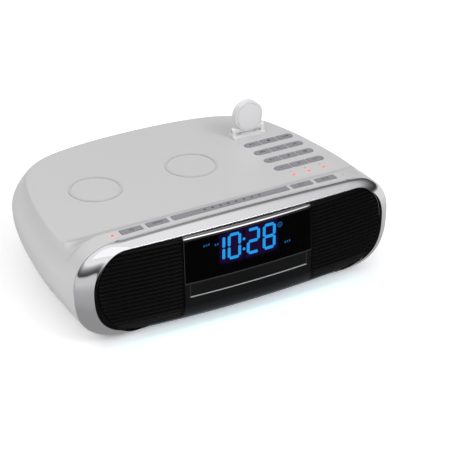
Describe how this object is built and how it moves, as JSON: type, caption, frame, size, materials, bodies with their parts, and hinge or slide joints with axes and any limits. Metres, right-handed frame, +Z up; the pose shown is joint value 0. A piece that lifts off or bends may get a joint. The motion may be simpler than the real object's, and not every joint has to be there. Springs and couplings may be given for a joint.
{
  "type": "clock radio",
  "caption": "Tabletop clock radio with a disc drawer, two grilled speakers, a charging deck, a fold-down watch charger and push keys.",
  "frame": {"origin": "on the table plane, under the middle of the whole set seen from above", "axes": "+X to the right seen from the front, +Y to the back, +Z up"},
  "size_m": [0.3536, 0.2724, 0.1274],
  "materials": {
    "black_plastic": "fine satin",
    "board_green": "solder mask",
    "charcoal": "satin",
    "clear_blue": "frosted",
    "copper": "wound wire",
    "dark_lens": "polished",
    "display_white": "reflector block",
    "ferrite": "sintered",
    "grille_black": "satin",
    "key_grey": "satin",
    "paper_cone": "pressed paper",
    "red_lens": "clear red",
    "rubber_black": "matte",
    "silver_collar": "satin plated",
    "soft_ring": "matte",
    "steel": "plain",
    "switch_black": "plain",
    "white_shell": "semi-gloss",
    "white_soft": "soft white"
  },
  "bodies": {
    "cabinet": {"audio_socket": "switch_black", "bezel_ring": "silver_collar", "bottom_cover": "black_plastic", "case_screws": "steel", "cd_chassis": "black_plastic", "charge_coils": "copper", "charge_rings": "soft_ring", "clamp_bridge": "steel", "coil_shields": "ferrite", "display_board": "board_green", "display_lens": "dark_lens", "display_module": "display_white", "front_baffle": "black_plastic", "glow_led_strip": "board_green", "glow_light_bar": "clear_blue", "grille_left": "grille_black", "grille_right": "grille_black", "guide_rods": "steel", "hinge_pin": "steel", "indicator_lights": "red_lens", "key_boards": "board_green", "lower_fascia": "charcoal", "main_board": "board_green", "power_socket": "switch_black", "rear_bay": "black_plastic", "rubber_feet": "rubber_black", "small_screws": "steel", "speaker_cones": "paper_cone", "speaker_frames": "steel", "speaker_magnets": "ferrite", "spindle_motor": "steel", "tact_switches": "switch_black", "tray_motor": "steel", "upper_cabinet": "white_shell", "watch_base": "white_soft"},
    "power_button": {"power_button": "key_grey"},
    "mode_button": {"mode_button": "key_grey"},
    "snooze_bar": {"snooze_bar": "key_grey"},
    "alarm_one_button": {"alarm_one_button": "key_grey"},
    "alarm_two_button": {"alarm_two_button": "key_grey"},
    "grid_key_1_1": {"grid_key_1_1": "key_grey"},
    "grid_key_1_2": {"grid_key_1_2": "key_grey"},
    "grid_key_1_3": {"grid_key_1_3": "key_grey"},
    "grid_key_2_1": {"grid_key_2_1": "key_grey"},
    "grid_key_2_2": {"grid_key_2_2": "key_grey"},
    "grid_key_2_3": {"grid_key_2_3": "key_grey"},
    "grid_key_3_1": {"grid_key_3_1": "key_grey"},
    "grid_key_3_2": {"grid_key_3_2": "key_grey"},
    "grid_key_3_3": {"grid_key_3_3": "key_grey"},
    "grid_key_4_1": {"grid_key_4_1": "key_grey"},
    "grid_key_4_2": {"grid_key_4_2": "key_grey"},
    "grid_key_4_3": {"grid_key_4_3": "key_grey"},
    "drawer": {"cd_tray": "black_plastic", "tray_door": "charcoal"},
    "drive_gear": {"tray_gear": "white_soft"},
    "turntable": {"disc_turntable": "black_plastic"},
    "clamper": {"disc_clamper": "black_plastic"},
    "sled": {"optical_sled": "black_plastic"},
    "charger_arm": {"watch_holder": "white_soft", "watch_puck": "white_soft"}
  },
  "joints": [
    {"name": "power_button_press", "type": "slide", "parent": "cabinet", "child": "power_button", "axis": [0, 0, -1], "range_m": [0, 0.001]},
    {"name": "mode_button_press", "type": "slide", "parent": "cabinet", "child": "mode_button", "axis": [0, 0, -1], "range_m": [0, 0.001]},
    {"name": "snooze_bar_press", "type": "slide", "parent": "cabinet", "child": "snooze_bar", "axis": [0, 0, -1], "range_m": [0, 0.001]},
    {"name": "alarm_one_button_press", "type": "slide", "parent": "cabinet", "child": "alarm_one_button", "axis": [0, 0, -1], "range_m": [0, 0.001]},
    {"name": "alarm_two_button_press", "type": "slide", "parent": "cabinet", "child": "alarm_two_button", "axis": [0, 0, -1], "range_m": [0, 0.001]},
    {"name": "grid_key_1_1_press", "type": "slide", "parent": "cabinet", "child": "grid_key_1_1", "axis": [0, 0, -1], "range_m": [0, 0.001]},
    {"name": "grid_key_1_2_press", "type": "slide", "parent": "cabinet", "child": "grid_key_1_2", "axis": [0, 0, -1], "range_m": [0, 0.001]},
    {"name": "grid_key_1_3_press", "type": "slide", "parent": "cabinet", "child": "grid_key_1_3", "axis": [0, 0, -1], "range_m": [0, 0.001]},
    {"name": "grid_key_2_1_press", "type": "slide", "parent": "cabinet", "child": "grid_key_2_1", "axis": [0, 0, -1], "range_m": [0, 0.001]},
    {"name": "grid_key_2_2_press", "type": "slide", "parent": "cabinet", "child": "grid_key_2_2", "axis": [0, 0, -1], "range_m": [0, 0.001]},
    {"name": "grid_key_2_3_press", "type": "slide", "parent": "cabinet", "child": "grid_key_2_3", "axis": [0, 0, -1], "range_m": [0, 0.001]},
    {"name": "grid_key_3_1_press", "type": "slide", "parent": "cabinet", "child": "grid_key_3_1", "axis": [0, 0, -1], "range_m": [0, 0.001]},
    {"name": "grid_key_3_2_press", "type": "slide", "parent": "cabinet", "child": "grid_key_3_2", "axis": [0, 0, -1], "range_m": [0, 0.001]},
    {"name": "grid_key_3_3_press", "type": "slide", "parent": "cabinet", "child": "grid_key_3_3", "axis": [0, 0, -1], "range_m": [0, 0.001]},
    {"name": "grid_key_4_1_press", "type": "slide", "parent": "cabinet", "child": "grid_key_4_1", "axis": [0, 0, -1], "range_m": [0, 0.001]},
    {"name": "grid_key_4_2_press", "type": "slide", "parent": "cabinet", "child": "grid_key_4_2", "axis": [0, 0, -1], "range_m": [0, 0.001]},
    {"name": "grid_key_4_3_press", "type": "slide", "parent": "cabinet", "child": "grid_key_4_3", "axis": [0, 0, -1], "range_m": [0, 0.001]},
    {"name": "drawer_slide", "type": "slide", "parent": "cabinet", "child": "drawer", "axis": [0, -1, 0], "range_m": [0, 0.118]},
    {"name": "gear_turn", "type": "hinge", "parent": "cabinet", "child": "drive_gear", "pos_m": [-0.048, -0.11221, 0.0395], "axis": [0, 0, 1], "range_deg": [0, 846]},
    {"name": "disc_spin", "type": "hinge", "parent": "cabinet", "child": "turntable", "pos_m": [0, -0.06621, 0.038], "axis": [0, 0, 1], "continuous": true},
    {"name": "clamper_spin", "type": "hinge", "parent": "cabinet", "child": "clamper", "pos_m": [0, -0.06621, 0.052], "axis": [0, 0, 1], "continuous": true},
    {"name": "sled_slide", "type": "slide", "parent": "cabinet", "child": "sled", "axis": [0, 1, 0], "range_m": [0, 0.033]},
    {"name": "charger_fold", "type": "hinge", "parent": "cabinet", "child": "charger_arm", "pos_m": [0.106, 0.05379, 0.0964], "axis": [-1, 0, 0], "range_deg": [0, 88]}
  ],
  "couplings": [
    {"joint": "gear_turn", "follows": "drawer_slide", "rad_per_m": 125},
    {"joint": "clamper_spin", "follows": "disc_spin", "ratio": 1}
  ]
}
